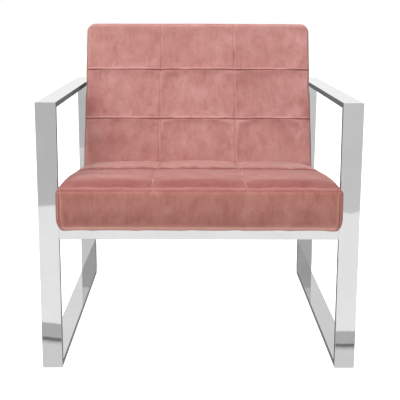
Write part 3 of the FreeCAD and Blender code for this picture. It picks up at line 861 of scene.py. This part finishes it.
def place_seat(coords):
    """Box coordinates to the chair: x across, y from the front edge to the crease, z upwards."""
    x, y, z = coords.T
    along = y / SEAT_RUN
    up = z / SEAT_THICK
    top_y = cushion_front_y + (REAR_Y - cushion_front_y) * along
    slope_z = REAR_Z + (REAR_Y - top_y) * math.tan(TILT)
    roll_drop = REAR_Z + (REAR_Y - cushion_front_y) * math.tan(TILT) - FRONT_SEAM_Z
    top_z = slope_z - roll_drop * np.clip(1 - (top_y - cushion_front_y) / ROLL_LENGTH, 0.0, 1.1) ** 2.2
    low_rear_y, _ = back_point(back_v(-0.001, 0.0), -0.001)
    low_y = cushion_front_y + (low_rear_y - cushion_front_y) * along
    low_z = underside_z(low_y) + UNDERSIDE_GAP
    world_y = low_y + (top_y - low_y) * up
    world_z = low_z + (top_z - low_z) * up
    middle = x - half_width
    pull = np.clip(1 - z / 0.028, 0.0, 1.0) ** 2 * smooth(0.060 - y, 0.0, 0.055)
    pull *= smooth(np.abs(middle), half_width - 0.06, half_width)
    world_x = middle - np.where(middle > 0, RIGHT_PULL, -LEFT_PULL) * pull
    world_z = world_z - 0.0012 * pull
    hem = np.clip(1 - z / 0.012, 0.0, 1.0)
    near_front = smooth(0.03 - y, 0.0, 0.03)
    world_z = world_z + 0.0008 * hem * near_front * wobble(x, 2.2, 0.085)
    tuck = np.clip(1 - z / 0.0035, 0.0, 1.0) ** 2
    near_side = smooth(np.abs(middle), half_width - 0.01, half_width)
    world_x = world_x - np.sign(middle) * 0.0014 * tuck * near_side
    world_y = world_y + 0.0016 * tuck * smooth(0.010 - y, 0.0, 0.010)
    return np.stack([world_x, world_y, world_z], axis=1)


def seat_channels(coords):
    """Rise, painted highlight and painted shade of the seat's top: its channels, deeper at the rear row, and
    creases before it.
    """
    x, y, _ = coords.T
    first, second = SEAT_PAD.rows
    rise, lip, fold = seam_shape(SEAT_PAD, coords, 0.25 + 0.75 * smooth(y, 0.16, 0.26))
    dip = 1 + 0.08 * wobble(x, 0.4, 0.16)
    rise = rise - dip * (0.0016 * bell(y - second, 0.0038) + 0.0008 * bell(y - first, 0.0050))
    # painted shade in the deep valley behind the rear row
    fold = np.maximum(fold, 0.92 * bell(y - second - 0.0035, 0.0046))
    # the painted highlight fades out towards the front edge and lies over the whole rear row, where the
    # sheen falls
    lip = 0.8 * lip * smooth(y, 0.012, 0.030)
    lip = np.maximum(lip, 0.30 * smooth(y, second + 0.010, second + 0.022))
    creased = smooth(y, 0.085, 0.115) * (1 - smooth(y, 0.205, 0.222))
    creased *= 0.35 + 0.65 * bell(x - (SEAT_PAD.sizes[0] - 0.105), 0.085)
    rise = rise + 0.00055 * creased * wobble(y + 0.006 * wobble(x, 1.7, 0.13), 2.3, 0.021)
    return rise, lip, fold


def end_seams(edge_x, z, depth):
    """(seam, stitch) down the front panel's ends: a curved seam between two lines of stitches."""
    curve = 0.0025 * ((z / depth - 0.45) / 0.55) ** 2
    seam = bell(edge_x - END_SEAM - curve, 0.0013)
    inner, outer = (bell(edge_x - place - curve, 0.0014) for place in (END_STITCH, OUTER_STITCH))
    return seam, np.maximum(inner, 0.8 * outer)


def seat_shade(coords, edge_x, top, front):
    """Painted shade on the seat: on its front roll, along its sides, over its whole top, less at the seam
    along its front edge, and below the panel's top edge.
    """
    x, y, z = coords.T
    roll = top * smooth(0.100 - y, 0.0, 0.050)
    sides = top * bell(edge_x, 0.05) * smooth(y, 0.03, 0.12)
    shade = 0.80 * roll * (0.84 + 0.16 * wobble(x, 1.1, 0.17)) + 0.25 * sides + 0.27 * top
    shade *= 0.75 + 0.25 * smooth(y, TOPSTITCH_Y - 0.006, TOPSTITCH_Y + 0.004)
    return shade + front * 0.42 * bell(SEAT_PAD.sizes[2] - z, 0.0055)


def seat_detail(coords):
    """The seat's sewn top, the seams and gathers round its front panel, and its side boxing seams, with
    their painted highlights and painted shade.
    """
    x, y, z = coords.T
    width, _, depth = SEAT_PAD.sizes
    edge_x = np.minimum(x, width - x)
    top = SEAT_PAD.on_face(coords)
    front = y < 1e-6
    rise, lip, fold = (top * values for values in seat_channels(coords))
    seam, stitch = (front * values for values in end_seams(edge_x, z, depth))
    top_stitch = top * bell(y - TOPSTITCH_Y, 0.0018)
    boxing = SEAT_PAD.boxing_seam(coords, (0,))
    gather = smooth(0.036 - edge_x, 0.0, 0.014) * np.clip(np.cos(edge_x * 2 * math.pi / 0.0063), 0, 1)
    gather = gather * np.where(top, bell(y - 0.003, 0.0035), front * bell(depth - z, 0.0035))
    ripple = front * 0.0007 * wobble(x, 4.0, 0.07) * smooth(z, 0.0, 0.03)
    offset = np.zeros_like(coords)
    offset[:, 0] = np.where(x < 1e-6, 0.0010, -0.0010) * boxing
    offset[:, 1] = 0.0010 * seam - 0.0005 * stitch + ripple
    offset[:, 2] = rise - 0.0006 * top_stitch - top * 0.0009 * gather
    # painted highlight: a pale band along the front panel's hem, standing in for light bounced up from the
    # floor, and pale lines along the stitching
    hem_highlight = front * smooth(0.0125 - z, 0.0, 0.0055)
    top_seam = front * 0.55 * bell(depth - z - 0.0015, 0.0010)
    lip = np.maximum.reduce([lip, 0.5 * stitch + 0.20 * top_stitch, hem_highlight])
    # painted shade in the gathers, the seams and the boxing seam, and a tint on the front panel for its
    # weaker sheen
    fold = np.maximum.reduce([fold, 0.75 * gather, 0.6 * np.maximum(seam, top_seam), 0.5 * boxing])
    return offset, 0.9 * front, seat_shade(coords, edge_x, top, front), lip, fold


SEAT_PAD = Pad("seat_cushion", SEAT_RUN, SEAT_THICK, SEAT_COLUMNS, [seat_place_of(u) for u in SEAT_ROWS],
               face=1, rises=SEAT_RISES)


# ======== the back
BACK_FOOT = back_v(0.0, UNDERSIDE_GAP)
BACK_RUN = BACK_HEIGHT - BACK_FOOT


def place_back(coords):
    """Box coordinates to the chair: x across, y up from the underside, z to the rear."""
    x, y, z = coords.T
    foot = back_v(z, UNDERSIDE_GAP)
    v = foot + (BACK_HEIGHT - foot) * (y / BACK_RUN)
    middle = x - half_width
    out = np.sign(middle)
    across = np.clip((np.abs(middle) - (half_width - CORNER_RADIUS)) / CORNER_RADIUS, 0.0, None)
    up = np.clip((v - (BACK_HEIGHT - CORNER_RADIUS)) / CORNER_RADIUS, 0.0, None)
    middle = middle - out * CORNER_RADIUS * across * (1 - np.sqrt(np.clip(1 - up * up / 2, 0.3, 1)))
    v = v - CORNER_RADIUS * up * (1 - np.sqrt(np.clip(1 - across * across / 2, 0.3, 1)))
    world_y, world_z = back_point(v, z)
    arm_z = (arm_low[2] + arm_high[2]) / 2
    side = smooth(np.abs(middle), half_width - 0.04, half_width)
    middle = middle - out * side * (0.0024 * bell(world_z - arm_z, 0.020) + 0.0008)
    return np.stack([middle, world_y, world_z], axis=1)


def back_detail(coords):
    """Sewn channels of the back, its boxing seams, their painted highlights and painted shade, and darker
    painted patches on its face.
    """
    x, y, _ = coords.T
    width, run, _ = BACK_PAD.sizes
    front = BACK_PAD.on_face(coords)
    rise, lip, fold = (front * values for values in seam_shape(BACK_PAD, coords, 1.0))
    edge = BACK_PAD.edge_distance(coords)
    # painted highlight: faint over the whole face and stronger just inside its edges, where the sheen falls
    lip = np.maximum(lip, front * (0.04 + 0.26 * bell(edge - 0.0050, 0.0030)))
    boxing = BACK_PAD.boxing_seam(coords)
    # painted shade along the boxing seams
    fold = np.maximum(fold, 0.5 * boxing)
    inward = np.sign(width / 2 - x) * (np.minimum(x, width - x) < 1e-6)
    offset = np.zeros_like(coords)
    offset[:, 0] = 0.0010 * boxing * inward
    offset[:, 1] = -0.0010 * boxing * (y > run - 1e-6)
    offset[:, 2] = -rise
    v = y + BACK_FOOT
    # painted darker along the face's two side edges, then the listed patches
    shade = 0.55 * bell(width - x, 0.0040) + 0.25 * bell(x, 0.0035)
    for strength, across, half_across, up, half_up in BACK_PATCHES:
        shade += strength * bell(x - across, half_across) * bell(v - up, half_up)
    return offset, np.zeros_like(x), front * shade, lip, fold


BACK_PAD = Pad("back_cushion", BACK_RUN, BACK_THICK, BACK_COLUMNS, [row - BACK_FOOT for row in BACK_ROWS],
               face=0, rises=BACK_RISES)


# ======== underside
def make_dust_cover():
    """Black non-woven sheet stapled over the frame's underside, sagging a little between rails."""
    inset = 0.018
    low_y = cushion_front_y + inset
    rear_t = BACK_THICK - inset
    high_y, _ = back_point(back_v(rear_t, 0.0), rear_t)
    half = half_width - inset
    count_x, count_y = 48, 40
    slack_x = 0.235
    vertices = []
    for j in range(count_y + 1):
        y = low_y + (high_y - low_y) * j / count_y
        for i in range(count_x + 1):
            x = -half + 2 * half * i / count_x
            reach = max(0.0, 1 - (x / slack_x) ** 2) * max(0.0, math.sin(math.pi * j / count_y))
            sag = 0.0045 * reach ** 0.7
            ripple = 0.0006 * reach * math.sin(43 * x + 0.6) * math.cos(31 * y)
            vertices.append((x, y, underside_z(y) + 0.0002 - sag + ripple))
    faces = []
    for j in range(count_y):
        for i in range(count_x):
            corner = j * (count_x + 1) + i
            faces.append((corner, corner + 1, corner + count_x + 2, corner + count_x + 1))
    obj = mesh_object("dust_cover", vertices, faces)
    thick = obj.modifiers.new("thickness", "SOLIDIFY")
    thick.thickness = 0.0006
    thick.offset = 1.0
    obj.data.shade_smooth()
    obj.data.materials.append(DUST)
    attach(obj, "root")
    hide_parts("seat_dust_cover")
    return obj


# ======== build
dress_cad_nodes()
seat, seat_lattice, seat_points = make_pad(SEAT_PAD, place_seat, seat_detail)
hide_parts("seat_foam", "seat_front_foam", "left_seat_padding", "right_seat_padding",
            "seat_top_cover", "seat_front_boxing", "left_seat_side_boxing", "right_seat_side_boxing")
back, back_lattice, back_points = make_pad(BACK_PAD, place_back, back_detail)
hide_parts("back_foam", "back_top_foam", "left_back_padding", "right_back_padding",
            "back_rear_padding", "back_front_cover", "back_rear_cover", "back_top_boxing",
            "left_back_side_boxing", "right_back_side_boxing")
make_dust_cover()
top_line = lattice_line(seat_lattice, seat_points, 0, {1: TOPSTITCH_Y, 2: SEAT_THICK}, (4, 4))
seat_lines = [(top_line, UPWARD)]
for place in (END_STITCH, 2 * half_width - END_STITCH):
    end_line = lattice_line(seat_lattice, seat_points, 2, {0: place, 1: 0.0}, (3, 4))
    seat_lines.append((end_line, FORWARD))
make_stitching("seat_stitching", seat_lines)
back_lines = []
for row in BACK_PAD.rows[1:]:
    row_line = lattice_line(back_lattice, back_points, 0, {1: row + ROW_STITCH, 2: 0.0}, (4, 4))
    back_lines.append((row_line, FORWARD))
make_stitching("back_stitching", back_lines)


# ======== studio
def stage_mesh(name, points, faces, material):
    obj = mesh_object(name, points, faces)
    obj.data.materials.append(material)
    return obj


def glow_material(name, grey, base=0.0):
    """A matt surface that shines with an even grey."""
    material, _, shader = new_material(name)
    set_inputs(shader, {
        "Base Color": (base, base, base, 1), "Roughness": 1.0, "Specular IOR Level": 0.0,
        "Emission Color": (grey, grey, grey, 1), "Emission Strength": 1.0,
    })
    return material


def seen_by(obj, ray):
    """Only one kind of ray sees the object."""
    for kind in ("camera", "diffuse", "glossy", "shadow", "transmission", "volume_scatter"):
        setattr(obj, "visible_" + kind, kind == ray)


def card(name, points, material):
    """A flat four-cornered sheet that only reflections see."""
    obj = stage_mesh(name, points, [(0, 1, 2, 3)], material)
    seen_by(obj, "glossy")
    return obj


def rectangle(name, x_range, y_range, z, material):
    """A card lying level."""
    (x0, x1), (y0, y1) = x_range, y_range
    return card(name, [(x0, y0, z), (x1, y0, z), (x1, y1, z), (x0, y1, z)], material)


def make_floor():
    """A pale floor and a round white backdrop for the camera, and a bounce card that lights from below."""
    floor = rectangle("floor", (-14, 14), (-14, 14), 0.0, glow_material("studio_floor", 0.82, 0.8))
    seen_by(floor, "camera")
    bpy.ops.mesh.primitive_uv_sphere_add(segments=32, ring_count=16, radius=18.0)
    dome = bpy.context.active_object
    dome.name = "backdrop"
    dome.data.materials.append(glow_material("studio_backdrop", 1.0))
    seen_by(dome, "camera")
    bounce = rectangle("bounce", (-1.1, 1.1), (-0.9, 0.9), 0.0004, glow_material("studio_bounce", 0.62))
    seen_by(bounce, "diffuse")


def band_edge(x, edge):
    """How far before the loops a band's edge runs at x: the near edges slant and the far one dips."""
    left, right = edge
    distance = left + (right - left) * smooth(x, -0.30, 0.30)
    if 0 < left < 1:
        distance = distance - SLANT * np.clip(x - SLANT_X, -0.05, 0.05) + 0.0016 * wobble(x, 0.7, 0.037)
    if 1 < left < FLOOR_END[0]:
        for middle, width, depth in FAR_DIPS:
            distance = distance - depth * bell(x - middle, width)
    return distance


def front_band(name, x_range, near_edge, far_edge, z, material):
    """A floor band before the chair, finely divided across where the legs mirror it."""
    low, high = x_range
    stops = np.concatenate([np.linspace(low, high, 9), np.linspace(-0.8, 0.8, 257)])
    x = np.unique(np.clip(stops, low, high))
    edges = [loop_front_y - band_edge(x, edge) for edge in (near_edge, far_edge)]
    vertices = [(float(across), float(along), z) for edge in edges for across, along in zip(x, edge)]
    count = len(x)
    faces = [(i + count, i + count + 1, i + 1, i) for i in range(count - 1)]
    seen_by(stage_mesh(f"band_{name}_front", vertices, faces, material), "glossy")


def make_floor_bands():
    """Grey bands on the floor all round the chair, a darker one far out at the left, and a dark one below it
    that stands in for the chair's shadow, a painted shadow that only the steel mirrors.
    """
    edges = [band[1] for band in FLOOR_BANDS] + [FLOOR_END]
    for (name, near_edge, grey), far_edge in zip(FLOOR_BANDS, edges[1:]):
        material = glow_material("band_" + name, grey)
        near, far = sum(near_edge) / 2, sum(far_edge) / 2
        near_x, far_x = loop_outer_x + near, loop_outer_x + far
        side_y = (loop_front_y - near, loop_rear_y + near)
        front_band(name, (-far_x, far_x), near_edge, far_edge, FRONT_BAND_Z, material)
        for part, x_range, y_range in (
            ("rear", (-far_x, far_x), (loop_rear_y + near, loop_rear_y + far)),
            ("left", (-far_x, -near_x), side_y),
            ("right", (near_x, far_x), side_y),
        ):
            rectangle(f"band_{name}_{part}", x_range, y_range, BAND_Z, material)
    far_left = glow_material("band_far_left", FAR_LEFT_GREY)
    front_band("far_left", (-FLOOR_END[0], -0.10), FLOOR_BANDS[-1][1], FLOOR_END, TOP_BAND_Z, far_left)
    # a dark card below the chair: a painted shadow that only the steel mirrors
    under = glow_material("band_under", CHAIR_SHADOW_GREY)
    rectangle("under", (-0.30, 0.30), (loop_front_y, loop_rear_y), BAND_Z, under)


def mirrored(sign, reach):
    """The x range of a reach to the left, for sign -1, or to the right, for 1."""
    return sorted(sign * x for x in reach)


def make_loop_cards(side, label, sign):
    """The cards round one loop: a strip on the floor beside it, those just inside it and those across."""
    strip = glow_material("beside_" + label, BESIDE_GREYS[side])
    rectangle("beside_" + label, mirrored(sign, BESIDE_REACH), BESIDE_Y, TOP_BAND_Z, strip)
    x = sign * INSIDE_X
    for part, (y0, y1), (z0, z1), greys in INSIDE_CARDS:
        name = f"flag_{label}_{part}"
        corners = [(x, y0, z0), (x, y1, z0), (x, y1, z1), (x, y0, z1)]
        card(name, corners, glow_material(name, greys[side]))
    for part, reach, y, (z0, z1), greys in ACROSS_CARDS:
        name = f"{part}_{label}"
        x0, x1 = mirrored(sign, reach)
        corners = [(x0, y, z0), (x1, y, z0), (x1, y, z1), (x0, y, z1)]
        card(name, corners, glow_material(name, greys[side]))


def make_walls():
    """A ring of walls in uneven greys, white behind the chair, that only reflections see."""
    for number in range(WALL_COUNT):
        start, end = (2 * math.pi * (number + step) / WALL_COUNT for step in (0, 1))
        bearing = math.degrees((start + end) / 2)
        behind = WHITE_BEARINGS[0] < bearing < WHITE_BEARINGS[1]
        grey = 1.0 if behind else WALL_GREYS[number % len(WALL_GREYS)]
        corners = []
        for angle, z in ((start, 0.0), (end, 0.0), (end, WALL_HEIGHT), (start, WALL_HEIGHT)):
            corners.append((WALL_RADIUS * math.cos(angle), WALL_RADIUS * math.sin(angle), z))
        name = f"wall_{number}"
        card(name, corners, glow_material(name, grey))


def area_light(name, location, energy):
    """A soft light aimed at the middle of the chair."""
    data = bpy.data.lights.new(name, "AREA")
    data.shape = "RECTANGLE"
    data.size = 2.2
    data.size_y = 1.6
    data.energy = energy
    obj = bpy.data.objects.new(name, data)
    obj.location = location
    obj.rotation_euler = (Vector((0, 0, 0.45)) - Vector(location)).to_track_quat("-Z", "Y").to_euler()
    bpy.context.scene.collection.objects.link(obj)
    obj.visible_glossy = False


def make_world():
    world = bpy.data.worlds.new("studio")
    world.use_nodes = True
    set_inputs(world.node_tree.nodes["Background"], {"Color": (1.0, 1.0, 1.0, 1.0), "Strength": 0.47})
    bpy.context.scene.world = world


def make_camera():
    data = bpy.data.cameras.new("camera")
    data.sensor_width = 36.0
    data.lens = 73.86
    data.shift_x = 0.013
    data.shift_y = -0.10
    obj = bpy.data.objects.new("camera", data)
    obj.location = (-0.0174, -2.044, 0.7919)
    pitch, yaw, roll = math.radians(10.311), math.radians(0.219), math.radians(-0.173)
    obj.rotation_euler = (math.pi / 2 - pitch, roll, -yaw)
    bpy.context.scene.collection.objects.link(obj)
    bpy.context.scene.camera = obj


make_floor()
make_floor_bands()
for side, (label, sign) in enumerate((("left", -1), ("right", 1))):
    make_loop_cards(side, label, sign)
make_walls()
make_world()
area_light("key", (-0.5, -1.4, 2.9), 84)
area_light("rear", (0.6, 2.6, 2.4), 50)
make_camera()
bpy.context.scene.view_settings.view_transform = "Standard"
